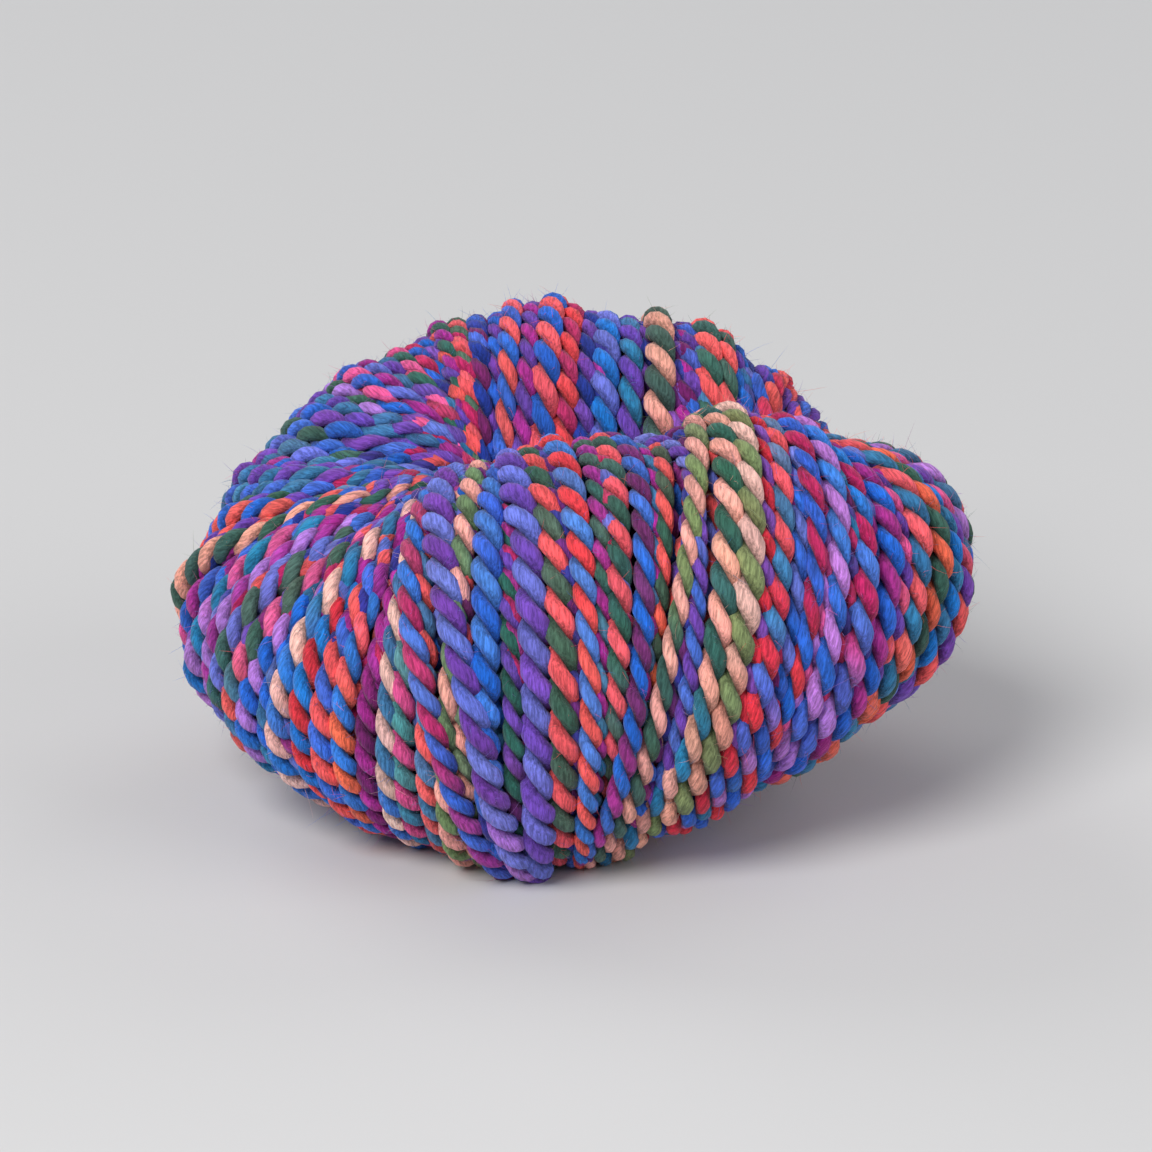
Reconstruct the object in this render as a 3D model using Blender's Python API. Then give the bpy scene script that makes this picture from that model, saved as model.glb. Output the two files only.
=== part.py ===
"""Yarn cake: one length of two-ply yarn wound into a soft centre-pull cake.

The cake is a plump ring of yarn with its hole pinched to a short slit on top and a dimple
underneath. It is modelled as one solid: a loft of upright sections set round the cake, each one
running from the slit over its own part of the lobe and under it to the dimple below. The bundles
of strands that stand proud of their neighbours are raised in the loft, and the cake lies on a
small flat spot.

Frame: metres, +Z up, +X the cake's long side, -Y the front. The origin is under the middle of the
cake, on the surface that it lies on.
"""
import math

import bmesh
import bpy
from mathutils import Vector

# Driving sizes in metres
MM = 0.001
WIDTH = 83.0 * MM
DEPTH = 71.4 * MM
SLIT_MIDDLE = Vector((4.7, 0.8, 32.9)) * MM
SLIT_HALF_LENGTH = Vector((15.3, 3.2, -2.3)) * MM
DIMPLE_MIDDLE = Vector((2.0, 0.5, 9.5)) * MM
DIMPLE_HALF_LENGTH = Vector((6.0, 1.0, 1.0)) * MM

# Moves the whole form so that the finished box is centred on the origin
FORM_SHIFT = Vector((-0.19, 0.36, 0.0)) * MM

# How strands share out the slit: they crowd to its ends, and a little more to the left one
SLIT_CROWDING = 3.8
SLIT_BIAS = 0.13

# One row for each section round the cake, by plan angle in degrees (0 right, 90 back, 180 left,
# 270 front). Reach is a share of the oval plan, and the rest are heights in millimetres over the
# surface: the crown of the lobe, its widest point, and its underside before the flat is cut.
SECTION_COLUMNS = ("angle", "reach", "crown", "belly", "underside")
SECTIONS = (
    (0, 1.000, 37.2, 25.0, 8.8),
    (30, 0.925, 33.6, 24.0, 6.5),
    (60, 0.915, 42.2, 23.0, 1.5),
    (90, 0.985, 46.8, 22.0, -1.0),
    (120, 0.985, 45.0, 21.0, -1.1),
    (150, 0.960, 41.2, 19.5, 1.5),
    (180, 0.995, 37.2, 19.0, 4.5),
    (210, 1.000, 37.0, 19.5, 2.0),
    (240, 1.000, 37.2, 20.5, -0.9),
    (270, 1.010, 43.0, 21.5, -1.2),
    (300, 1.000, 45.0, 23.0, 5.0),
    (330, 1.000, 40.2, 25.0, 7.8),
)

# One row for each main band of strands: its middle at the belly and its half width in degrees of
# plan angle, how far it stands proud in millimetres, and how far it leans round the cake in
# degrees from its top end to its foot.
# Columns: angle, half_width, proud, lean.
BANDS = (
    (4, 7, 0.9, -8),
    (26, 6, 0.8, 10),
    (47, 7, 1.0, -6),
    (71, 6, 0.9, 8),
    (93, 7, 1.1, -5),
    (114, 6, 0.8, 9),
    (137, 8, 1.0, -12),
    (161, 7, 0.8, 8),
    (186, 7, 0.9, -7),
    (208, 6, 0.8, -10),
    (231, 6, 0.8, -8),
    (255, 8, 1.3, 16),
    (273, 5, 1.0, 7),
    (292, 7, 1.2, 2),
    (312, 6, 0.9, -3),
    (340, 7, 1.0, 7),
)

# Small ribs, each a few strands wide, between and over the bands
RIB_COUNT = 36
RIB_PROUD = 0.35 * MM
RIB_LEAN = math.radians(7)

# Mesh density
COLUMN_COUNT = 144
ROW_COUNT = 33

# Cutter for the flat spot
CUTTER_SIZE = 0.12

NODE_NAME = "yarn_cake"
YARN_COLOUR = (0.22, 0.16, 0.55, 1.0)
YARN_ROUGHNESS = 0.9


def clear_scene():
    for item in list(bpy.data.objects):
        bpy.data.objects.remove(item, do_unlink=True)


def new_collection(name):
    collection = bpy.data.collections.new(name)
    bpy.context.scene.collection.children.link(collection)
    return collection


def around(table, columns, name, angle):
    """Reads a column of the table at a plan angle, on a smooth closed curve through its rows."""
    column = columns.index(name)
    count = len(table)
    place = math.degrees(angle) % 360.0 / 360.0 * count
    row = int(place)
    share = place - row
    before, start, end, after = (table[(row + step) % count][column] for step in (-1, 0, 1, 2))
    slope_start = (end - before) / 2.0
    slope_end = (after - start) / 2.0
    cubic = 2.0 * start - 2.0 * end + slope_start + slope_end
    square = 3.0 * end - 3.0 * start - 2.0 * slope_start - slope_end
    return ((cubic * share + square) * share + slope_start) * share + start


def section_value(name, angle):
    return around(SECTIONS, SECTION_COLUMNS, name, angle)


def along_slit(angle):
    """Where a section meets the slit: -1 at its left end, 1 at its right end."""
    return math.tanh(SLIT_CROWDING * (math.cos(angle) - SLIT_BIAS))


def surface_point(angle, share):
    """Point of the plain wound form: share runs from 0 in the slit to 1 in the dimple below."""
    reach = section_value("reach", angle)
    outer = Vector((WIDTH / 2 * reach * math.cos(angle), DEPTH / 2 * reach * math.sin(angle), 0.0))
    belly = section_value("belly", angle) * MM
    crown = section_value("crown", angle) * MM
    underside = section_value("underside", angle) * MM
    slit = SLIT_MIDDLE + SLIT_HALF_LENGTH * along_slit(angle)
    dimple = DIMPLE_MIDDLE + DIMPLE_HALF_LENGTH * along_slit(angle)
    top_start = math.asin((slit.z - belly) / (crown - belly))
    low_end = math.asin((belly - dimple.z) / (belly - underside))
    turn = top_start + share * (2.0 * math.pi - top_start - low_end)
    if turn <= math.pi:
        inner = slit
        start = top_start
        height = belly + (crown - belly) * math.sin(turn)
    else:
        inner = dimple
        start = low_end
        height = belly + (belly - underside) * math.sin(turn)
    out = (math.cos(start) - math.cos(turn)) / (math.cos(start) + 1.0)
    return Vector((inner.x + (outer.x - inner.x) * out, inner.y + (outer.y - inner.y) * out, height))


def surface_normal(angle, share):
    step = 0.004
    around_step = surface_point(angle + step, share) - surface_point(angle - step, share)
    down_step = surface_point(angle, share + step) - surface_point(angle, share - step)
    return down_step.cross(around_step).normalized()


def ease(value):
    value = min(max(value, 0.0), 1.0)
    return value * value * (3.0 - 2.0 * value)


def proud_height(angle, share):
    """How far the bands and ribs stand proud here. It fades out in the slit and the dimple."""
    height = 0.0
    for band_angle, half_width, proud, lean in BANDS:
        middle = math.radians(band_angle + lean * (share - 0.5))
        away = abs(math.degrees(math.remainder(angle - middle, 2.0 * math.pi)))
        height = max(height, proud * MM * ease((half_width + 2.5 - away) / 5.0))
    rib = 0.5 + 0.5 * math.cos(RIB_COUNT * (angle - RIB_LEAN * (share - 0.5)))
    fade = ease(share / 0.12) * ease((1.0 - share) / 0.12)
    return (height + RIB_PROUD * rib) * fade


def wound_point(angle, share):
    place = surface_point(angle, share) + FORM_SHIFT
    if 0.0 < share < 1.0:
        place += surface_normal(angle, share) * proud_height(angle, share)
    return place


def make_wound_form(collection):
    """Lofts the sections into one closed body. Its two sides meet along the slit and the dimple."""
    mesh = bpy.data.meshes.new(NODE_NAME)
    shape = bmesh.new()
    rings = []
    for row in range(ROW_COUNT + 1):
        share = row / ROW_COUNT
        angles = [2.0 * math.pi * column / COLUMN_COUNT for column in range(COLUMN_COUNT)]
        rings.append([shape.verts.new(wound_point(angle, share)) for angle in angles])
    for upper, lower in zip(rings, rings[1:]):
        for column in range(COLUMN_COUNT):
            after = (column + 1) % COLUMN_COUNT
            shape.faces.new((upper[column], lower[column], lower[after], upper[after]))
    bmesh.ops.remove_doubles(shape, verts=rings[0] + rings[-1], dist=1e-6)
    bmesh.ops.triangulate(shape, faces=shape.faces[:])
    bmesh.ops.recalc_face_normals(shape, faces=shape.faces[:])
    shape.to_mesh(mesh)
    shape.free()
    mesh.shade_smooth()
    cake = bpy.data.objects.new(NODE_NAME, mesh)
    collection.objects.link(cake)
    return cake


def cut_flat_spot(cake, cutters):
    """Cuts away what hangs below the surface, so that the cake lies on a small flat."""
    bpy.ops.mesh.primitive_cube_add(size=CUTTER_SIZE, location=(0.0, 0.0, -CUTTER_SIZE / 2))
    cutter = bpy.context.object
    cutter.name = "below_the_surface"
    for collection in list(cutter.users_collection):
        collection.objects.unlink(cutter)
    cutters.objects.link(cutter)
    cutter.hide_render = True
    cutter.display_type = "WIRE"
    cut = cake.modifiers.new("flat_spot", "BOOLEAN")
    cut.operation = "DIFFERENCE"
    cut.solver = "EXACT"
    cut.object = cutter


def yarn_material():
    material = bpy.data.materials.new("marled_yarn")
    material.use_nodes = True
    shader = material.node_tree.nodes["Principled BSDF"]
    shader.inputs["Base Color"].default_value = YARN_COLOUR
    shader.inputs["Roughness"].default_value = YARN_ROUGHNESS
    shader.inputs["Metallic"].default_value = 0.0
    return material


def main():
    clear_scene()
    parts = new_collection("yarn_cake_parts")
    cutters = new_collection("cutters")
    cake = make_wound_form(parts)
    cake.data.materials.append(yarn_material())
    cut_flat_spot(cake, cutters)


main()
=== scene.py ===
"""Looks of the yarn cake: every turn of two-ply yarn that shows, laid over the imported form.

The wound form is worked out here from the same short table of sections as the solid. Strands are
laid on it one after another, each resting on what already lies there, and each is a closed tube of
two plies twisted round each other. Along a strand, share runs from 0 in the slit on top to 1 in the
dimple below. Lengths are metres, apart from the heights in the tables, which are millimetres.
"""
import math

import bpy
import numpy as np
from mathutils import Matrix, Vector


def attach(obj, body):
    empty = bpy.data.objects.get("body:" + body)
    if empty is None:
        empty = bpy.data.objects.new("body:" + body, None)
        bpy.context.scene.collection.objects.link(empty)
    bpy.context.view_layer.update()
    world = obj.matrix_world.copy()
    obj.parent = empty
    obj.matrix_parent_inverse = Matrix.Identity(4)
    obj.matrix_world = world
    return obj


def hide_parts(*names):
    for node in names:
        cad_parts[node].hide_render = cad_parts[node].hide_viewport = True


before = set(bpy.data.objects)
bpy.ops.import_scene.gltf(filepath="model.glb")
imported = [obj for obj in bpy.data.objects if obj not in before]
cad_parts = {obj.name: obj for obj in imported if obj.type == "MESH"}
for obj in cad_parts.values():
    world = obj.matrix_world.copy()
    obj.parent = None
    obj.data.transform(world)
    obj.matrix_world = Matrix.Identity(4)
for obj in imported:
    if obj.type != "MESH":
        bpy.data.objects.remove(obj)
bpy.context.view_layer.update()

MM = 0.001

# The wound form, with the sizes of the solid
WIDTH = 83.0 * MM
DEPTH = 71.4 * MM
SLIT_MIDDLE = np.array((4.7, 0.8, 32.9)) * MM
SLIT_HALF_LENGTH = np.array((15.3, 3.2, -2.3)) * MM
DIMPLE_MIDDLE = np.array((2.0, 0.5, 9.5)) * MM
DIMPLE_HALF_LENGTH = np.array((6.0, 1.0, 1.0)) * MM
FORM_SHIFT = np.array((-0.19, 0.36, 0.0)) * MM

# How strands share out the slit: they crowd to its ends, and a little more to the left one
SLIT_CROWDING = 3.8
SLIT_BIAS = 0.13

# Columns: plan angle in degrees, reach, and heights in millimetres of crown, belly and underside
SECTIONS = np.array((
    (0, 1.000, 37.2, 25.0, 8.8),
    (30, 0.925, 33.6, 24.0, 6.5),
    (60, 0.915, 42.2, 23.0, 1.5),
    (90, 0.985, 46.8, 22.0, -1.0),
    (120, 0.985, 45.0, 21.0, -1.1),
    (150, 0.960, 41.2, 19.5, 1.5),
    (180, 0.995, 37.2, 19.0, 4.5),
    (210, 1.000, 37.0, 19.5, 2.0),
    (240, 1.000, 37.2, 20.5, -0.9),
    (270, 1.010, 43.0, 21.5, -1.2),
    (300, 1.000, 45.0, 23.0, 5.0),
    (330, 1.000, 40.2, 25.0, 7.8),
))
REACH, CROWN, BELLY, UNDERSIDE = 1, 2, 3, 4

# Bands of strands that stand proud. Columns: plan angle at the belly and half width in degrees, how
# far it stands proud in millimetres, and its lean round the cake in degrees
BANDS = (
    (4, 7, 0.9, -8),
    (26, 6, 0.8, 10),
    (47, 7, 1.0, -6),
    (71, 6, 0.9, 8),
    (93, 7, 1.1, -5),
    (114, 6, 0.8, 9),
    (137, 8, 1.0, -12),
    (161, 7, 0.8, 8),
    (186, 7, 0.9, -7),
    (208, 6, 0.8, -10),
    (231, 6, 0.8, -8),
    (255, 8, 1.3, 16),
    (273, 5, 1.0, 7),
    (292, 7, 1.2, 2),
    (312, 6, 0.9, -3),
    (340, 7, 1.0, 7),
)
BAND_EDGE = 5
BAND_FADE = 0.12

# The yarn: its thickness, the length of one full twist, how much of a strand's extra thickness goes
# into that length, and how uneven it is from strand to strand
STRAND = 2.9 * MM
TWIST_PITCH = 6.0 * MM
PITCH_POWER = 0.7
UNEVEN_PITCH = (0.96, 1.04)

# A ply's place and half sizes, as shares of the strand's thickness, and how much of its thickness
# a strand keeps where others press on it
PLY_OFFSET = 0.23
PLY_HALF_ACROSS = 0.29
PLY_HALF_WIDE = 0.37
SQUEEZE = 0.84

# How uneven the yarn is in thickness, in twist (radians) and in the plumpness of its plies, and the
# length over which each of them changes
THICK_AND_THIN, THICK_SPAN = 0.07, 12 * MM
UNEVEN_TWIST, TWIST_SPAN = 0.35, 9 * MM
UNEVEN_PLY, PLY_SPAN = 0.07, 5 * MM

# Sides of a ply and rings in one twist, for the strands that show and for those under them
SHOWN_SIDES, SHOWN_RINGS = 6, 10
UNDER_SIDES, UNDER_RINGS = 4, 7
FEWEST_RINGS = 8

# Painted shade in the crease between the plies and on the sides next to it, as factors on the ply
# colour
PAINTED_CREASE_SHADE = 0.38
PAINTED_SIDE_SHADE = 0.82

# Colour along a ply: where and how fast one named colour gives way to the next, stray colours, slow
# and quick changes of shade, and drift between red, green and blue
CHANGE_PLACE = 0.12
CHANGE_LENGTH = 10 * MM
STRAY, STRAY_SPANS = 0.07, (6 * MM, 15 * MM)
SLOW_SHADE, SLOW_SPAN = 0.16, 7 * MM
QUICK_SHADE, QUICK_SPAN = 0.12, 2.2 * MM
DRIFT, DRIFT_SPAN = 0.05, 9 * MM
DARKEST = 0.002

# Room that a strand takes in the map for baking, and a random start for its fibre pattern
MAP_START, MAP_LENGTH = 0.02, 0.96
MAP_SIDE, MAP_WIDTH = 0.03, 0.94
FIBRE_START = 900

# The bed that strands are laid on: cells round the cake, rows down it, how many cells to each side
# a strand feels, how deep the bed lies under the form, and over how many rows lines are smoothed
CELLS = 1800
ROWS = 161
LOOK_CELLS = 45
BED_DEPTH = 4.6 * MM
SMOOTHING = 4.0
FAR_BELOW = -1.0
FLOOR_GAP = 0.03 * MM

# Where strands end: how deep and over what share they sink, and how far they are tucked in
END_SINK = -1.9 * MM
END_FADE = 0.2
TUCK = 4.0 * MM
FIRST_TUCK = 0.6 * MM
TUCK_POINTS = 8

# How high the middle line of a strand may lie over the bands, and its weight in a crowd, for each
# of the layers 0 to 3
HIGHEST = np.array((-1.6, -1.2, -0.8, 0.1)) * MM
LAYER_WEIGHT = np.array((0.6, 1.0, 1.0, 0.4))

# In a crowd all strands get narrower, and some of layers 0 and 1 dive. Room is counted in widths
# of a strand
CROWD_ANGLE = 3.0
CROWD_FADE = 0.12
NARROWEST = 0.6
NARROWEST_ON_TOP = 0.85
LEAST_ROOM, ROOM_RANGE = 0.45, 0.35
DIVE = 2.0 * MM

# Shares at which a strand's three charted angles are read, the stretch over which it follows them,
# and how far it wanders in degrees
CHART_SHARES = np.array((0.22, 0.45, 0.68))
CHART_START, CHART_END = 0.15, 0.80
WANDER, WANDER_SPAN = 0.35, 0.16

# Round the back, in degrees: how far strands fan out from the left end of the slit, how far their
# feet lean on the right and on the left side, and how far each small bundle leans
FAN_LEAN, FAN_START, FAN_RANGE = 33.0, 455, 105
RIGHT_LEAN, RIGHT_START, RIGHT_RANGE = 16, 359, 40
LEFT_LEAN, LEFT_START, LEFT_RANGE = 7, 480, 44
BUNDLE, BUNDLE_LEAN = 4, 2.6

# The strands under those that show
UNDER_COUNT = 92
UNDER_COLOURS = (
    "violet", "blue", "magenta", "deep_blue", "crimson",
    "teal", "coral", "periwinkle", "plum",
)
UNDER_THICKNESS = 0.96
UNDER_NARROWING, UNDER_FADE = 0.2, 0.15
UNDER_LEVEL = -2.75 * MM

# How unevenly they are spaced and how far they lean at random, in degrees, and between which plan
# angles they fan out
UNDER_SPACING = 0.8
UNDER_LEAN = 3
UNDER_FAN_START, UNDER_FAN_RANGE = 95, 70
UNDER_FAN_END, UNDER_FAN_CLOSE = 262, 95

# Plan angles past the front at which the strands of the right side and those of the back end
RIGHT_END, BACK_END = 105, 250

# The windings deeper down: one closed form with low ribs, its plum darkened by painted shade
INNER_COLUMNS, INNER_ROWS = 320, 72
INNER_DEPTH = -3.9 * MM
INNER_DROP = 5.5 * MM
INNER_FADE = 0.05
INNER_RIBS, INNER_RIB, INNER_RIB_LEAN = 80, 0.35 * MM, 14
INNER_PAINTED_SHADE = 0.6

# Loose fibres, each a thin spike: how many, the stretch of a strand that they stand on, how far they
# spread round it in radians, and where they start as a share of its radius
SPIKE_COUNT = 11500
SPIKE_STRETCH = (0.08, 0.80)
SPIKE_SPREAD = 0.9
SPIKE_ROOT = 0.8

# Size of a loose fibre: length in millimetres, bend, and how much longer a few of them are
SPIKE_LENGTH = (0.6, 1.5)
SPIKE_BEND = (0.8, 2.2)
LONG_SHARE, LONG_FACTOR = 0.04, 2.0
SPIKE_HALF_WIDTH = 0.019 * MM
SPIKE_TAPER = 0.6
SPIKE_SIDES = 3
SPIKE_SHARES = np.array((0, 0.4, 0.75, 1.0))

# Colour of a loose fibre: a little paler than its ply, with its own start in the fibre pattern
SPIKE_GAIN, SPIKE_PALER = 0.9, 0.04
SPIKE_START = 7.0

# Seed of all that is random
SEED = 20

# Camera
CAMERA_ELEVATION = 20.5
CAMERA_DISTANCE = 0.9
CAMERA_TARGET = Vector((0.0, 0.0, 0.0235))
FRAME_WIDTH = 0.122

# Lights: name, place, size, power and colour. All of them point at one place
LIGHT_TARGET = Vector((0, 0, 0.02))
LIGHTS = (
    ("key", (-0.45, -0.75, 0.85), 0.65, 12.6, (1.0, 0.985, 0.96)),
    ("fill", (0.9, -0.45, 0.55), 0.8, 3.0, (0.96, 0.98, 1.0)),
    ("back_left", (-0.7, 0.8, 0.7), 0.8, 4.0, (1.0, 1.0, 1.0)),
    ("back_right", (0.8, 0.75, 0.6), 0.8, 3.0, (1.0, 1.0, 1.0)),
)

# Palette of the dyed plies, in display colours
PALETTE = {
    "coral": (244, 92, 92),
    "red": (226, 50, 66),
    "orange": (242, 108, 74),
    "peach": (244, 168, 150),
    "pale": (246, 198, 188),
    "pink": (234, 88, 152),
    "magenta": (168, 40, 146),
    "plum": (110, 26, 104),
    "crimson": (190, 34, 96),
    "violet": (112, 68, 180),
    "lilac": (176, 122, 214),
    "periwinkle": (100, 118, 214),
    "blue": (24, 104, 212),
    "azure": (26, 124, 218),
    "deep_blue": (30, 56, 154),
    "teal": (32, 124, 172),
    "sea": (60, 148, 150),
    "green": (44, 98, 82),
    "olive": (116, 142, 92),
}

# Strands that the front shows, from the left side round to the right. Columns: plan angle at the
# crown, the belly and the foot, thickness, layer, and the colours of its two plies from top to foot
FRONT = (
    (197.5, 163.5, 154.0, 1.00, 1, "coral", "blue periwinkle"),
    (202.5, 171.5, 162.0, 0.90, 0, "coral pink", "violet blue"),
    (206.0, 179.5, 171.0, 1.05, 2, "peach coral", "green olive"),
    (209.0, 187.0, 178.0, 0.95, 0, "magenta pink", "blue"),
    (213.0, 195.0, 183.5, 1.05, 1, "pink lilac", "teal azure"),
    (216.5, 202.0, 189.0, 0.95, 1, "lilac violet", "magenta blue"),
    (220.5, 207.0, 194.5, 1.00, 1, "periwinkle", "green violet"),
    (225.5, 212.0, 200.5, 1.00, 1, "pink coral", "green teal"),
    (228.5, 215.5, 203.5, 1.00, 1, "lilac", "blue teal"),
    (230.0, 219.0, 207.5, 0.90, 0, "blue", "periwinkle teal"),
    (231.5, 222.5, 212.5, 1.10, 2, "pale", "teal azure"),
    (233.0, 227.0, 221.0, 1.00, 1, "red coral", "azure"),
    (235.5, 231.5, 227.0, 1.00, 1, "coral", "blue"),
    (237.5, 235.0, 230.5, 1.00, 1, "coral orange", "azure"),
    (239.0, 238.5, 233.0, 0.95, 0, "magenta", "magenta plum"),
    (240.0, 242.0, 237.0, 1.00, 2, "pale", "teal azure"),
    (241.0, 244.5, 240.5, 1.00, 1, "pink", "sea teal"),
    (244.0, 248.5, 244.5, 1.00, 1, "coral", "teal"),
    (254.0, 252.5, 250.0, 1.00, 2, "peach", "olive"),
    (251.0, 253.5, 254.0, 0.95, 0, "peach", "green olive"),
    (258.0, 257.5, 258.5, 1.15, 2, "azure blue", "blue deep_blue"),
    (259.5, 261.0, 261.5, 0.85, 0, "green", "violet plum"),
    (243.5, 249.5, 258.5, 1.00, 3, "crimson magenta", "azure blue"),
    (248.5, 255.5, 262.5, 1.15, 3, "periwinkle", "violet lilac"),
    (263.0, 265.0, 264.0, 1.18, 3, "violet", "periwinkle"),
    (266.0, 268.5, 268.0, 1.10, 2, "coral", "green"),
    (268.0, 270.0, 270.0, 0.90, 0, "plum", "deep_blue"),
    (270.0, 272.0, 271.5, 1.00, 2, "red coral", "azure"),
    (273.5, 274.0, 272.0, 0.80, 0, "magenta plum", "green teal"),
    (275.5, 276.0, 273.5, 0.95, 1, "coral", "green"),
    (278.0, 279.5, 272.0, 1.00, 2, "plum magenta", "blue"),
    (280.0, 280.5, 273.0, 0.90, 0, "magenta", "teal"),
    (282.0, 282.0, 274.5, 0.90, 1, "coral orange", "green"),
    (287.0, 284.5, 275.0, 1.00, 2, "peach", "olive green"),
    (285.5, 286.0, 277.5, 0.95, 0, "plum", "deep_blue"),
    (283.5, 287.5, 279.5, 0.85, 1, "violet", "periwinkle blue"),
    (290.5, 291.0, 279.5, 1.05, 2, "peach", "green teal"),
    (294.0, 295.0, 283.5, 1.15, 2, "pale peach", "olive"),
    (299.0, 298.0, 288.5, 0.90, 1, "red", "violet"),
    (303.0, 300.5, 287.5, 1.10, 2, "coral red", "teal blue"),
    (305.5, 304.5, 292.5, 1.00, 1, "periwinkle lilac", "blue teal"),
    (307.5, 307.0, 295.5, 1.05, 2, "blue", "crimson red"),
    (311.5, 309.5, 298.5, 0.90, 1, "crimson pink", "lilac"),
    (315.0, 312.0, 301.0, 1.15, 2, "lilac", "azure blue"),
    (318.5, 315.0, 303.5, 0.85, 0, "crimson", "deep_blue"),
    (321.5, 318.0, 305.5, 1.15, 2, "azure blue", "crimson lilac"),
    (325.5, 321.5, 307.5, 0.85, 0, "magenta", "deep_blue"),
    (329.0, 325.5, 310.0, 1.10, 2, "blue", "magenta"),
    (331.5, 330.0, 313.5, 0.90, 1, "pink coral", "violet teal"),
    (333.5, 334.0, 317.5, 1.10, 2, "coral orange", "teal"),
    (336.0, 339.5, 323.0, 1.05, 2, "orange", "green"),
    (341.5, 345.0, 328.5, 1.00, 1, "azure lilac", "teal"),
    (347.5, 350.5, 333.5, 1.05, 2, "pink coral", "violet teal"),
    (353.0, 355.5, 338.0, 1.00, 1, "pink", "teal violet"),
)

# Strands from the right side round the back to the left side. Columns: plan angle at the crown,
# thickness, layer, and the colours of its two plies
BACK = (
    (358.5, 1.00, 1, "lilac", "teal"),
    (363.0, 0.95, 0, "magenta", "blue"),
    (367.5, 1.00, 2, "coral", "green"),
    (372.0, 1.05, 1, "pink", "blue"),
    (376.3, 1.00, 1, "blue", "violet"),
    (380.6, 1.05, 2, "peach", "olive"),
    (384.8, 0.95, 1, "red", "violet"),
    (389.0, 1.00, 1, "coral", "blue"),
    (393.0, 0.95, 0, "crimson", "teal"),
    (396.8, 1.05, 2, "coral", "crimson"),
    (400.6, 1.00, 1, "coral red", "crimson"),
    (404.3, 1.00, 1, "violet", "blue"),
    (408.0, 0.95, 1, "coral peach", "violet"),
    (411.7, 1.05, 2, "coral", "red violet"),
    (414.9, 1.00, 1, "violet", "blue"),
    (418.9, 0.95, 0, "deep_blue", "periwinkle"),
    (422.9, 1.00, 1, "blue", "violet"),
    (426.6, 1.05, 2, "coral", "green"),
    (430.3, 1.10, 2, "coral", "green olive"),
    (433.9, 0.90, 0, "plum", "magenta"),
    (435.9, 0.95, 0, "plum", "violet"),
    (437.9, 1.10, 3, "peach pale", "green olive"),
    (439.6, 0.95, 0, "violet", "deep_blue"),
    (441.2, 1.00, 1, "violet", "teal"),
    (444.2, 1.00, 1, "azure", "periwinkle violet"),
    (446.4, 0.95, 0, "deep_blue", "violet"),
    (448.7, 0.95, 0, "crimson", "red"),
    (451.6, 1.10, 2, "coral", "blue"),
    (454.8, 0.95, 1, "violet", "magenta"),
    (458.2, 1.05, 2, "coral", "blue"),
    (462.0, 1.00, 1, "blue", "violet"),
    (466.2, 0.95, 1, "blue", "deep_blue"),
    (470.8, 1.00, 1, "coral pink", "green"),
    (475.4, 1.00, 2, "magenta pink", "green teal"),
    (479.8, 1.00, 1, "violet", "blue"),
    (484.2, 0.95, 1, "crimson", "blue"),
    (488.6, 1.00, 2, "pink", "green"),
    (493.2, 1.00, 1, "violet", "teal"),
    (497.8, 1.05, 1, "magenta lilac", "periwinkle"),
    (502.6, 1.00, 2, "pink", "blue"),
    (507.6, 0.95, 1, "lilac", "green"),
    (512.8, 1.00, 1, "teal blue", "violet"),
    (518.4, 1.05, 2, "violet", "blue teal"),
    (524.2, 1.00, 1, "blue", "green"),
    (530.2, 1.00, 1, "periwinkle", "teal"),
    (535.6, 0.95, 0, "magenta", "violet"),
    (541.2, 1.05, 2, "violet pink", "teal green"),
    (547.0, 1.00, 1, "teal", "blue"),
    (552.6, 0.95, 0, "violet", "green blue"),
)


def ease(value):
    """Rises softly from 0 to 1 while the value does."""
    value = np.clip(value, 0.0, 1.0)
    return value * value * (3.0 - 2.0 * value)


def faded_ends(share, width):
    """0 at both ends of a section, rising to 1 over a width."""
    return ease(share / width) * ease((1 - share) / width)


def unit(vectors):
    return vectors / (np.linalg.norm(vectors, axis=-1, keepdims=True) + 1e-12)


def above_floor(places, gap=FLOOR_GAP):
    """Lifts what would lie in the floor."""
    return np.maximum(places, (-np.inf, -np.inf, gap))


def smoothed(values, width):
    """Evens out a row of values with a bell curve that is some values wide."""
    reach = int(3 * width)
    weight = np.exp(-0.5 * (np.arange(-reach, reach + 1) / width) ** 2)
    padded = np.pad(values, reach, mode="edge")
    return np.convolve(padded, weight / weight.sum(), mode="valid")


def slow_noise(random, places, span):
    """A smooth random curve along places, about -1 to 1, with a new value every span."""
    count = int(places[-1] / span) + 4
    knots = random.uniform(-1, 1, count)
    at = places / span + 1
    low = np.floor(at).astype(int)
    share = ease(at - low)
    return knots[low] * (1 - share) + knots[low + 1] * share


def section_value(column, angle):
    """Reads a column of the section table at plan angles, on a smooth closed curve."""
    count = len(SECTIONS)
    place = np.mod(angle, 2 * math.pi) / (2 * math.pi) * count
    row = np.floor(place).astype(int) % count
    share = place - np.floor(place)
    before, start, end, after = (SECTIONS[(row + step) % count, column] for step in (-1, 0, 1, 2))
    slope_start = (end - before) / 2
    slope_end = (after - start) / 2
    cubic = 2 * start - 2 * end + slope_start + slope_end
    square = 3 * end - 3 * start - 2 * slope_start - slope_end
    return ((cubic * share + square) * share + slope_start) * share + start


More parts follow.
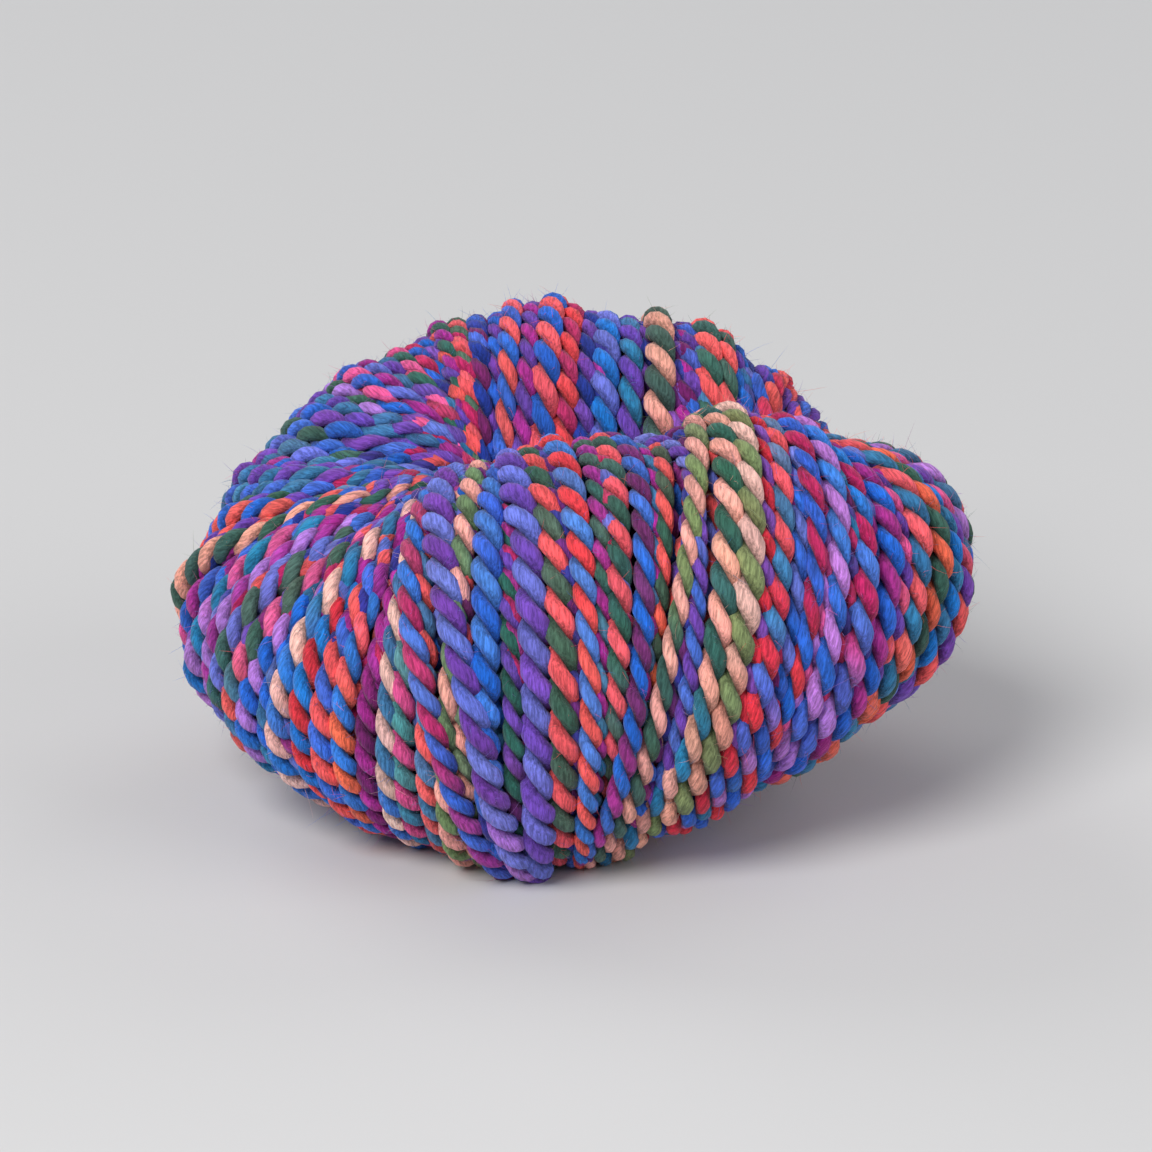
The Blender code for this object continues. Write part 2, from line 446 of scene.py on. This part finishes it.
def form_point(angle, share):
    """Points of the plain wound form."""
    angle, share = np.broadcast_arrays(np.asarray(angle, float), np.asarray(share, float))
    reach = section_value(REACH, angle)
    outer = np.stack([WIDTH / 2 * reach * np.cos(angle), DEPTH / 2 * reach * np.sin(angle)], -1)
    crown, belly, underside = (section_value(c, angle) * MM for c in (CROWN, BELLY, UNDERSIDE))
    along = np.tanh(SLIT_CROWDING * (np.cos(angle) - SLIT_BIAS))[..., None]
    slit = SLIT_MIDDLE + SLIT_HALF_LENGTH * along
    dimple = DIMPLE_MIDDLE + DIMPLE_HALF_LENGTH * along
    top_start = np.arcsin((slit[..., 2] - belly) / (crown - belly))
    low_end = np.arcsin((belly - dimple[..., 2]) / (belly - underside))
    turn = top_start + share * (2 * math.pi - top_start - low_end)
    upper = turn <= math.pi
    inner = np.where(upper[..., None], slit, dimple)[..., :2]
    start = np.where(upper, top_start, low_end)
    height = belly + np.where(upper, crown - belly, belly - underside) * np.sin(turn)
    out = (np.cos(start) - np.cos(turn)) / (np.cos(start) + 1)
    plan = inner + (outer - inner) * out[..., None]
    return np.concatenate([plan, height[..., None]], -1) + FORM_SHIFT


def form_normal(angle, share):
    """Outward way at points of the plain wound form."""
    step = 0.004
    share = np.clip(share, step, 1 - step)
    round_step = form_point(angle + step, share) - form_point(angle - step, share)
    down_step = form_point(angle, share + step) - form_point(angle, share - step)
    return unit(np.cross(down_step, round_step))


def band_height(angle, share):
    """How far the main bands of strands stand proud of the plain form."""
    height = np.zeros(np.broadcast(angle, share).shape)
    for middle, half_width, proud, lean in BANDS:
        away = np.degrees(angle) - middle - lean * (share - 0.5)
        away = np.abs((away + 180) % 360 - 180)
        inside = ease((half_width + BAND_EDGE / 2 - away) / BAND_EDGE)
        height = np.maximum(height, proud * MM * inside)
    return height * faded_ends(share, BAND_FADE)


class Bed:
    """Height of what already lies on the form, over plan angle and share."""

    def __init__(self):
        self.share = np.linspace(0, 1, ROWS)
        self.fade = faded_ends(self.share, END_FADE)
        self.cell = 2 * math.pi / CELLS
        angle = np.arange(CELLS) * self.cell
        grid_angle, grid_share = np.meshgrid(angle, self.share)
        self.band = band_height(grid_angle, grid_share)
        self.height = self.band - BED_DEPTH
        ahead = form_point(grid_angle + self.cell, grid_share)
        self.cell_size = np.linalg.norm(ahead - form_point(grid_angle, grid_share), axis=-1)

    def lay(self, angle, radius, highest, dive):
        """Lays a strand and returns the height of its middle line, which stays under the highest."""
        rows = np.arange(ROWS)[:, None]
        middle = np.round(angle / self.cell).astype(int)[:, None]
        steps = np.arange(-LOOK_CELLS, LOOK_CELLS + 1)[None, :]
        cells = (middle + steps) % CELLS
        away = steps * self.cell_size[rows, middle % CELLS]
        hard = (radius * SQUEEZE)[:, None]
        lift = np.sqrt(np.maximum(hard ** 2 - away ** 2, 0))
        near = np.abs(away) < hard
        resting = np.where(near, self.height[rows, cells] + lift, FAR_BELOW).max(1)
        cap = band_height(angle, self.share) + (highest - END_SINK) * self.fade + END_SINK
        line = np.minimum(smoothed(resting, SMOOTHING), cap - dive)
        covered = np.where(near, line[:, None] + lift, FAR_BELOW)
        np.maximum.at(self.height, (np.broadcast_to(rows, cells.shape), cells), covered)
        return line

    def level_out(self):
        """Fills the hollows between the strands that lie here already."""
        level = UNDER_LEVEL + (END_SINK + UNDER_LEVEL) * (1 - self.fade)
        self.height = np.maximum(self.height, self.band + level[:, None])


def linear(colour):
    """Turns a display colour into linear light."""
    display = np.array(colour) / 255.0
    return np.where(display <= 0.04045, display / 12.92, ((display + 0.055) / 1.055) ** 2.4)


def ply_colours(names, random, places):
    """Colour along a ply: its named colours follow each other with soft, uneven changes."""
    colours = [linear(PALETTE[name]) for name in names.split()]
    length = places[-1]
    colour = np.tile(colours[0], (len(places), 1))
    for number, following in enumerate(colours[1:], 1):
        change = length * number / len(colours)
        change += random.uniform(-CHANGE_PLACE, CHANGE_PLACE) * length
        share = ease((places - change) / CHANGE_LENGTH + 0.5)[:, None]
        colour = colour * (1 - share) + following * share
    every_name = sorted(PALETTE)
    for span in STRAY_SPANS:
        stray = linear(PALETTE[every_name[random.integers(len(every_name))]])
        share = STRAY * (0.5 + 0.5 * slow_noise(random, places, span))[:, None]
        colour = colour * (1 - share) + stray * share
    shade = 1 + SLOW_SHADE * slow_noise(random, places, SLOW_SPAN)
    shade += QUICK_SHADE * slow_noise(random, places, QUICK_SPAN)
    drift = DRIFT * np.stack([slow_noise(random, places, DRIFT_SPAN) for _ in range(3)], 1)
    return np.clip(colour * shade[:, None] * (1 + drift), DARKEST, 1.0)


def outline(sides):
    """Cross-section of two plies pressed together: points, and which ply each side belongs to."""
    crease = math.acos(-PLY_OFFSET / PLY_HALF_ACROSS)
    turns = np.linspace(-crease, crease, sides + 1)[:-1]
    across = PLY_OFFSET + PLY_HALF_ACROSS * np.cos(turns)
    wide = PLY_HALF_WIDE * np.sin(turns)
    across[0] = 0.0
    points = np.concatenate([np.stack([across, wide], 1), np.stack([-across, -wide], 1)])
    return points, np.repeat([0, 1], sides)


def evenly_spaced(step, line, out, radius):
    """Spaces the points of a line evenly. Also returns how far along the line each of them is."""
    gaps = np.linalg.norm(np.diff(line, axis=0), axis=1)
    travelled = np.concatenate([[0], np.cumsum(gaps)])
    at = np.linspace(0, travelled[-1], max(int(travelled[-1] / step), FEWEST_RINGS))
    line = np.stack([np.interp(at, travelled, line[:, i]) for i in range(3)], 1)
    out = np.stack([np.interp(at, travelled, out[:, i]) for i in range(3)], 1)
    return at, line, out, np.interp(at, travelled, radius)


class Strands:
    """Gathers the tubes of many strands into one mesh."""

    def __init__(self, name, sides, rings_a_turn):
        self.name = name
        self.section, self.ply = outline(sides)
        self.points = 2 * sides
        self.ring = np.arange(self.points)
        self.following = (self.ring + 1) % self.points
        self.step = TWIST_PITCH / rings_a_turn
        self.places, self.fibres, self.creases = [], [], []
        self.quads, self.quad_colours, self.quad_maps = [], [], []
        self.caps, self.cap_colours, self.cap_maps = [], [], []
        self.count = 0
        self.strands = 0

    def add(self, line, out, radius, pitch, plies, random):
        """Adds a strand along a line of points, with the outward way and the radius at each."""
        at, line, out, radius = evenly_spaced(self.step, line, out, radius)
        radius = radius * (1 + THICK_AND_THIN * slow_noise(random, at, THICK_SPAN))
        along = unit(np.gradient(line, axis=0))
        out = unit(out - along * (out * along).sum(1, keepdims=True))
        side = np.cross(along, out)
        twist = random.uniform(0, 2 * math.pi) - 2 * math.pi * at / pitch
        twist = (twist + UNEVEN_TWIST * slow_noise(random, at, TWIST_SPAN))[:, None]
        plump = np.stack([1 + UNEVEN_PLY * slow_noise(random, at, PLY_SPAN) for _ in range(2)], 1)
        first, second = (column * 2 * radius[:, None] * plump[:, self.ply] for column in self.section.T)
        up = first * np.cos(twist) - second * np.sin(twist)
        sideways = first * np.sin(twist) + second * np.cos(twist)
        places = line[:, None] + out[:, None] * up[..., None] + side[:, None] * sideways[..., None]
        lengthwise = np.broadcast_to(at[:, None] / MM, up.shape)
        fibres = np.stack([up / MM + random.uniform(0, FIBRE_START), sideways / MM, lengthwise], -1)
        colour = np.stack([ply_colours(names, random, at) for names in plies], 1)
        start = self.count
        self.places.append(above_floor(places).reshape(-1, 3))
        self.fibres.append(fibres.reshape(-1, 3))
        self.creases.append(np.tile(self.ring % (self.points // 2) == 0, len(at)))
        self.count += len(at) * self.points
        self.add_sides(start, at, colour)
        self.close(line[0], fibres[0], start, colour[0], False)
        self.close(line[-1], fibres[-1], start + (len(at) - 1) * self.points, colour[-1], True)
        self.strands += 1

    def add_sides(self, start, at, colour):
        """Adds the faces from ring to ring, with the colours and the map of their corners. The colours
        are darkened towards the crease with painted shade.
        """
        ring, following = self.ring, self.following
        base = start + np.arange(len(at) - 1)[:, None] * self.points
        above = base + self.points
        quads = np.stack([base + ring, base + following, above + following, above + ring], -1)
        corner = np.stack([colour[:-1], colour[:-1], colour[1:], colour[1:]], 2)[:, self.ply]
        # Painted shade: corners at the crease between the plies, and on the sides next to it, are
        # darkened
        from_crease = np.minimum(ring % (self.points // 2), -ring % (self.points // 2))
        shade = np.where(from_crease == 0, PAINTED_CREASE_SHADE, np.where(from_crease == 1, PAINTED_SIDE_SHADE, 1.0))
        shade = np.stack([shade[ring], shade[following], shade[following], shade[ring]], -1)
        corner = corner * shade[None, :, :, None]
        reach = (MAP_START + MAP_LENGTH * (at / at[-1]))[:, None] + 0 * ring
        low, high = reach[:-1], reach[1:]
        left = MAP_SIDE + MAP_WIDTH * ring / self.points + self.strands + 0 * low
        right = left + MAP_WIDTH / self.points
        corner_map = np.stack([low, left, low, right, high, right, high, left], -1)
        self.quads.append(quads.reshape(-1, 4))
        self.quad_colours.append(corner.reshape(-1, 3))
        self.quad_maps.append(corner_map.reshape(-1, 2))

    def close(self, middle, fibres, base, colour, at_end):
        """Closes one end of a strand with a fan of triangles."""
        left = MAP_SIDE + MAP_WIDTH * self.ring / self.points + self.strands
        right = left + MAP_WIDTH / self.points
        edge = np.full(self.points, MAP_START + MAP_LENGTH if at_end else MAP_START)
        tip = np.full(self.points, 1.0 if at_end else 0.0)
        if at_end:
            first, second, first_map, second_map = self.ring, self.following, left, right
        else:
            first, second, first_map, second_map = self.following, self.ring, right, left
        fan = np.stack([base + first, base + second, np.full(self.points, self.count)], -1)
        corner_map = np.stack([edge, first_map, edge, second_map, tip, (left + right) / 2], -1)
        self.caps.append(fan)
        self.cap_colours.append(np.repeat(colour[self.ply], 3, 0))
        self.cap_maps.append(corner_map.reshape(-1, 2))
        self.places.append(above_floor(middle)[None])
        self.fibres.append(fibres.mean(0)[None])
        self.creases.append(np.zeros(1, bool))
        self.count += 1

    def build(self, material):
        """Makes the piece, with its map for baking and a sharp crease between the plies."""
        faces = [face for block in self.quads + self.caps for face in block.tolist()]
        colours = np.concatenate(self.quad_colours + self.cap_colours)
        places = np.concatenate(self.places)
        mesh = new_piece(self.name, places, faces, colours, np.concatenate(self.fibres), material).data
        maps = np.concatenate(self.quad_maps + self.cap_maps)
        maps[:, 1] /= self.strands
        mesh.uv_layers.new(name="OFBake").data.foreach_set("uv", maps.astype(np.float32).ravel())
        edges = np.empty(len(mesh.edges) * 2, np.int32)
        mesh.edges.foreach_get("vertices", edges)
        sharp = np.concatenate(self.creases)[edges.reshape(-1, 2)].all(1)
        mesh.attributes.new("sharp_edge", "BOOLEAN", "EDGE").data.foreach_set("value", sharp)


def new_piece(name, places, faces, colours, fibres, material):
    """Makes a mesh with its yarn colours, which carry painted shade, and the way of its fibres, and
    hangs it on the cake.
    """
    mesh = bpy.data.meshes.new(name)
    mesh.from_pydata(places.tolist(), [], faces)
    mesh.shade_smooth()
    mesh.materials.append(material)
    layer = mesh.color_attributes.new("ply_colour_and_shade", "FLOAT_COLOR", "CORNER")
    rgba = np.concatenate([colours, np.ones((len(colours), 1))], 1)
    layer.data.foreach_set("color", rgba.astype(np.float32).ravel())
    way = mesh.attributes.new("fibre", "FLOAT_VECTOR", "POINT")
    way.data.foreach_set("vector", fibres.astype(np.float32).ravel())
    piece = bpy.data.objects.new(name, mesh)
    bpy.context.scene.collection.objects.link(piece)
    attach(piece, "root")
    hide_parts("yarn_cake")
    return piece


def strand_path(row, random):
    """Plan angle at each share for a strand that passes its three charted angles."""
    share = np.linspace(0, 1, ROWS)
    held = np.clip(share, CHART_START, CHART_END)
    curve = np.polyfit(CHART_SHARES, row[:3], 2)
    wander = WANDER * slow_noise(random, share, WANDER_SPAN)
    return np.radians(np.polyval(curve, held) + wander)


def crowding(paths, layers):
    """Where many strands crowd together: how far each is narrowed, and how far it dives."""
    share = np.linspace(0, 1, ROWS)
    apart = np.degrees(paths[:, None] - paths[None])
    apart = (apart + 180) % 360 - 180
    near = np.exp(-0.5 * (apart / CROWD_ANGLE) ** 2) / (CROWD_ANGLE * math.sqrt(2 * math.pi))
    half = math.radians(0.5)
    degree = np.linalg.norm(form_point(paths + half, share) - form_point(paths - half, share), axis=-1)

    def room_for(weight):
        return degree / (weight[None] * near).sum(1) / (STRAND * SQUEEZE)

    # The strands of layers 0 and 1 are numbered round the cake. Every second one dives first, and
    # then every second one of those that are left
    low_layer = layers < 2
    place = np.degrees(paths[:, ROWS // 5]) % 360
    order = np.argsort(np.argsort(np.where(low_layer, place, place + 360)))
    weight = LAYER_WEIGHT[layers][:, None] + 0 * share
    stays = np.ones_like(weight)
    for diving in (low_layer & (order % 2 == 1), low_layer & (order % 4 == 0)):
        stays = np.where(diving[:, None], ease((room_for(weight) - LEAST_ROOM) / ROOM_RANGE), stays)
        weight = weight * np.where(diving[:, None], stays, 1.0)
    wider = np.where(layers > 2, NARROWEST_ON_TOP - NARROWEST, 0.0)[:, None]
    least = NARROWEST + wider * faded_ends(share, CROWD_FADE)
    narrow = [smoothed(line, SMOOTHING) for line in np.clip(room_for(weight), least, 1.0)]
    dive = [smoothed(line, SMOOTHING) for line in DIVE * (1 - stays)]
    return np.stack(narrow), np.stack(dive)


def lay_strand(bed, group, row, angle, narrow, dive, random):
    """Lays one charted strand on the bed and adds its tube, with both ends tucked in, to a group."""
    thickness, layer, first, second = row[3:]
    radius = STRAND / 2 * thickness * narrow
    height = bed.lay(angle, radius, HIGHEST[layer], dive)
    out = form_normal(angle, bed.share)
    line = form_point(angle, bed.share) + out * height[:, None]
    start = line[0] - unit(line[1] - line[0]) * np.linspace(TUCK, FIRST_TUCK, TUCK_POINTS)[:, None]
    end = line[-1] + unit(line[-1] - line[-2]) * np.linspace(FIRST_TUCK, TUCK, TUCK_POINTS)[:, None]
    line = np.concatenate([start, line, end])
    out = np.concatenate([np.repeat(out[:1], TUCK_POINTS, 0), out, np.repeat(out[-1:], TUCK_POINTS, 0)])
    radius = np.pad(radius, TUCK_POINTS, mode="edge")
    pitch = TWIST_PITCH * thickness ** PITCH_POWER * random.uniform(*UNEVEN_PITCH)
    group.add(line, out, radius, pitch, (first, second), random)
    return line, out, radius, (first, second)


def back_chart(random):
    """Adds the angles at the belly and the foot to the strands round the back, in small bundles."""
    rows = []
    for number, row in enumerate(BACK):
        if number % BUNDLE == 0:
            lean = random.uniform(-BUNDLE_LEAN, BUNDLE_LEAN)
        top = row[0]
        middle = top - FAN_LEAN * ease((top - FAN_START) / FAN_RANGE) - 0.5 * lean
        right = RIGHT_LEAN * (1 - ease((middle - RIGHT_START) / RIGHT_RANGE))
        left = LEFT_LEAN * ease((middle - LEFT_START) / LEFT_RANGE)
        rows.append((top, middle, middle - right - left - lean) + row[1:])
    return rows


def inner_form(material):
    """The windings under the strands that show, as one closed form with low ribs."""
    columns, rows = INNER_COLUMNS, INNER_ROWS
    angle, share = np.meshgrid(np.arange(columns) * 2 * math.pi / columns, np.linspace(0, 1, rows))
    depth = INNER_DEPTH + INNER_RIB * np.cos(INNER_RIBS * angle + INNER_RIB_LEAN * share)
    top = 1 - ease(share / INNER_FADE)
    low = 1 - ease((1 - share) / INNER_FADE)
    places = form_point(angle, share) + form_normal(angle, share) * (depth * (1 - top - low))[..., None]
    places[..., 2] += INNER_DROP * (low - top)
    places = above_floor(places, 2 * FLOOR_GAP).reshape(-1, 3)
    at = np.arange(rows - 1)[:, None] * columns
    below = at + columns
    column = np.arange(columns)
    after = (column + 1) % columns
    faces = np.stack([at + column, below + column, below + after, at + after], -1).reshape(-1, 4)

    # The first and the last row fold shut: each point joins the one across from it
    target = np.arange(rows * columns)
    seam = np.minimum(column, (columns - column) % columns)
    target[:columns] = seam
    target[-columns:] = seam + (rows - 1) * columns
    kept = np.unique(target)
    number = np.zeros(rows * columns, int)
    number[kept] = np.arange(len(kept))
    faces = [list(dict.fromkeys(number[target[face]].tolist())) for face in faces]
    faces = [face for face in faces if len(face) > 2]
    # Painted shade: the plum of the deep windings is darkened, as they lie between the strands
    colour = linear(PALETTE["plum"]) * INNER_PAINTED_SHADE
    colours = np.tile(colour, (sum(len(face) for face in faces), 1))
    new_piece("inner_windings", places[kept], faces, colours, places[kept] / MM, material)


def spike_points(root, way, bend, length):
    """Points of a thin spike that curls: three rings and a tip."""
    across = unit(np.cross(way, bend))
    over = unit(np.cross(across, way))
    share = SPIKE_SHARES[:, None]
    middle = root + (way * share + bend * 0.5 * share ** 2) * length
    points = []
    for share, centre in zip(SPIKE_SHARES[:-1], middle[:-1]):
        half = SPIKE_HALF_WIDTH * (1 - SPIKE_TAPER * share)
        for corner in range(SPIKE_SIDES):
            turn = math.tau * corner / SPIKE_SIDES
            points.append(centre + half * (math.cos(turn) * across + math.sin(turn) * over))
    return points + [middle[-1]]


def spike_faces(base):
    """Faces of a spike, from the number of its first point: its sides, its tip and its root."""
    sides = [(corner, (corner + 1) % SPIKE_SIDES) for corner in range(SPIKE_SIDES)]
    last = base + (len(SPIKE_SHARES) - 2) * SPIKE_SIDES
    faces = []
    for low in range(base, last, SPIKE_SIDES):
        high = low + SPIKE_SIDES
        faces += [(low + here, low + there, high + there, high + here) for here, there in sides]
    tip = last + SPIKE_SIDES
    faces += [(last + here, last + there, tip) for here, there in sides]
    faces.append((base + 2, base + 1, base))
    return faces


def loose_fibres(strands, material, random):
    """Short fibres that stand off the strands."""
    places, faces, colours, fibres = [], [], [], []
    for number in range(SPIKE_COUNT):
        line, out, radius, plies = strands[random.integers(len(strands))]
        at = int(len(line) * random.uniform(*SPIKE_STRETCH))
        along = unit(line[at + 1] - line[at])
        side = np.cross(along, out[at])
        around = random.normal(0, SPIKE_SPREAD)
        away = out[at] * math.cos(around) + side * math.sin(around)
        root = line[at] + away * radius[at] * SPIKE_ROOT
        way = away * random.uniform(0.25, 1.0) + along * random.uniform(-1, 1)
        way = unit(way + side * random.uniform(-1, 1))
        bend = unit(random.normal(0, 1, 3)) * random.uniform(*SPIKE_BEND)
        length = random.uniform(*SPIKE_LENGTH) * MM
        if random.random() < LONG_SHARE:
            length *= LONG_FACTOR
        new_faces = spike_faces(len(places))
        new_places = spike_points(root, way, bend, length)
        name = random.choice(plies[random.integers(2)].split())
        colour = np.clip(linear(PALETTE[name]) * SPIKE_GAIN + SPIKE_PALER, 0, 1)
        faces += new_faces
        places += new_places
        colours.append(np.tile(colour, (sum(len(face) for face in new_faces), 1)))
        fibres.append(np.tile((number * SPIKE_START, 0.0, 0.0), (len(new_places), 1)))
    places = above_floor(np.array(places))
    new_piece("loose_fibres", places, faces, np.concatenate(colours), np.concatenate(fibres), material)


def link(tree, source, target):
    tree.links.new(source, target)


def yarn_material():
    """Wool: ply colours with painted crease shade, broken up by streaks that run with the fibres, a
    soft sheen and a fine nap.
    """
    material = bpy.data.materials.new("marled_wool")
    material.use_nodes = True
    tree = material.node_tree
    nodes = tree.nodes
    shader = nodes["Principled BSDF"]
    colour = nodes.new("ShaderNodeAttribute")
    colour.attribute_name = "ply_colour_and_shade"
    way = nodes.new("ShaderNodeAttribute")
    way.attribute_name = "fibre"

    stretch = nodes.new("ShaderNodeVectorMath")
    stretch.operation = "MULTIPLY"
    stretch.inputs[1].default_value = (1.0, 1.0, 0.16)
    link(tree, way.outputs["Vector"], stretch.inputs[0])

    streaks = nodes.new("ShaderNodeTexNoise")
    streaks.inputs["Scale"].default_value = 3.6
    streaks.inputs["Detail"].default_value = 3.0
    streaks.inputs["Roughness"].default_value = 0.65
    link(tree, stretch.outputs[0], streaks.inputs["Vector"])
    shade = nodes.new("ShaderNodeMapRange")
    shade.inputs["From Min"].default_value = 0.36
    shade.inputs["From Max"].default_value = 0.64
    shade.inputs["To Min"].default_value = 0.6
    shade.inputs["To Max"].default_value = 1.42
    link(tree, streaks.outputs["Fac"], shade.inputs["Value"])

    tint = nodes.new("ShaderNodeVectorMath")
    tint.operation = "SCALE"
    link(tree, colour.outputs["Color"], tint.inputs[0])
    link(tree, shade.outputs["Result"], tint.inputs["Scale"])
    link(tree, tint.outputs["Vector"], shader.inputs["Base Color"])

    nap = nodes.new("ShaderNodeTexNoise")
    nap.inputs["Scale"].default_value = 7.0
    nap.inputs["Detail"].default_value = 3.0
    link(tree, stretch.outputs[0], nap.inputs["Vector"])
    bump = nodes.new("ShaderNodeBump")
    bump.inputs["Strength"].default_value = 0.8
    bump.inputs["Distance"].default_value = 0.28 * MM
    link(tree, nap.outputs["Fac"], bump.inputs["Height"])
    link(tree, bump.outputs["Normal"], shader.inputs["Normal"])

    shader.inputs["Roughness"].default_value = 0.82
    shader.inputs["Specular IOR Level"].default_value = 0.25
    shader.inputs["Sheen Weight"].default_value = 0.14
    shader.inputs["Sheen Roughness"].default_value = 0.4
    return material


def make_floor():
    material = bpy.data.materials.new("pale_floor")
    material.use_nodes = True
    shader = material.node_tree.nodes["Principled BSDF"]
    shader.inputs["Base Color"].default_value = (0.62, 0.62, 0.63, 1)
    shader.inputs["Roughness"].default_value = 0.9
    bpy.ops.mesh.primitive_plane_add(size=12.0, location=(0, 0, 0))
    floor = bpy.context.object
    floor.name = "floor"
    floor.data.materials.append(material)


def make_lights():
    for name, place, size, power, colour in LIGHTS:
        data = bpy.data.lights.new(name, "AREA")
        data.shape = "DISK"
        data.size = size
        data.energy = power
        data.color = colour
        light = bpy.data.objects.new(name, data)
        light.location = place
        light.rotation_euler = (LIGHT_TARGET - Vector(place)).to_track_quat("-Z", "Y").to_euler()
        bpy.context.scene.collection.objects.link(light)
    world = bpy.data.worlds.new("studio")
    world.use_nodes = True
    background = world.node_tree.nodes["Background"]
    background.inputs["Color"].default_value = (0.86, 0.88, 0.9, 1)
    background.inputs["Strength"].default_value = 0.27
    bpy.context.scene.world = world


def make_camera():
    """Looks at the cake as the photo does: level, a little from above, through a long lens."""
    data = bpy.data.cameras.new("camera")
    camera = bpy.data.objects.new("camera", data)
    bpy.context.scene.collection.objects.link(camera)
    height = math.radians(CAMERA_ELEVATION)
    way = Vector((0, -math.cos(height), math.sin(height)))
    camera.location = CAMERA_TARGET + way * CAMERA_DISTANCE
    camera.rotation_euler = (CAMERA_TARGET - camera.location).to_track_quat("-Z", "Y").to_euler()
    data.sensor_width = 36.0
    data.lens = data.sensor_width * CAMERA_DISTANCE / FRAME_WIDTH
    data.clip_start = 0.01
    bpy.context.scene.camera = camera


def wind_under(bed, random):
    """Lays the strands under those that show, and evens the bed out over them."""
    under = Strands("under_strands", UNDER_SIDES, UNDER_RINGS)
    narrow = 1 - UNDER_NARROWING * (1 - faded_ends(bed.share, UNDER_FADE))
    for number in range(UNDER_COUNT):
        middle = 360 * number / UNDER_COUNT + random.uniform(-UNDER_SPACING, UNDER_SPACING)
        lean = random.uniform(-UNDER_LEAN, UNDER_LEAN)
        opened = ease((middle - UNDER_FAN_START) / UNDER_FAN_RANGE)
        top = middle + FAN_LEAN * opened * ease((UNDER_FAN_END - middle) / UNDER_FAN_CLOSE)
        first, second = random.choice(UNDER_COLOURS, 2, replace=False)
        row = (top + lean, middle, middle - lean, UNDER_THICKNESS, 0, first, second)
        lay_strand(bed, under, row, strand_path(row, random), narrow, 0.0, random)
    bed.level_out()
    return under


def wind_shown(bed, random):
    """Lays the charted strands from the deepest layer to the top one."""
    right, back, left = (
        Strands(name, SHOWN_SIDES, SHOWN_RINGS)
        for name in ("right_strands", "back_strands", "left_strands")
    )
    charted = sorted(list(FRONT) + back_chart(random), key=lambda row: row[4])
    paths = np.stack([strand_path(row, random) for row in charted])
    narrows, dives = crowding(paths, np.array([row[4] for row in charted]))
    laid = []
    for row, angle, narrow, dive in zip(charted, paths, narrows, dives):
        past_front = (row[1] - 270) % 360
        group = right if past_front < RIGHT_END else back if past_front < BACK_END else left
        laid.append(lay_strand(bed, group, row, angle, narrow, dive, random))
    return (right, back, left), laid


def main():
    make_camera()
    make_lights()
    make_floor()
    wool = yarn_material()
    random = np.random.default_rng(SEED)
    bed = Bed()
    under = wind_under(bed, random)
    shown, laid = wind_shown(bed, random)
    under.build(wool)
    for group in shown:
        group.build(wool)
    inner_form(wool)
    loose_fibres(laid, wool, random)


bpy.context.scene.view_settings.view_transform = "Standard"
main()
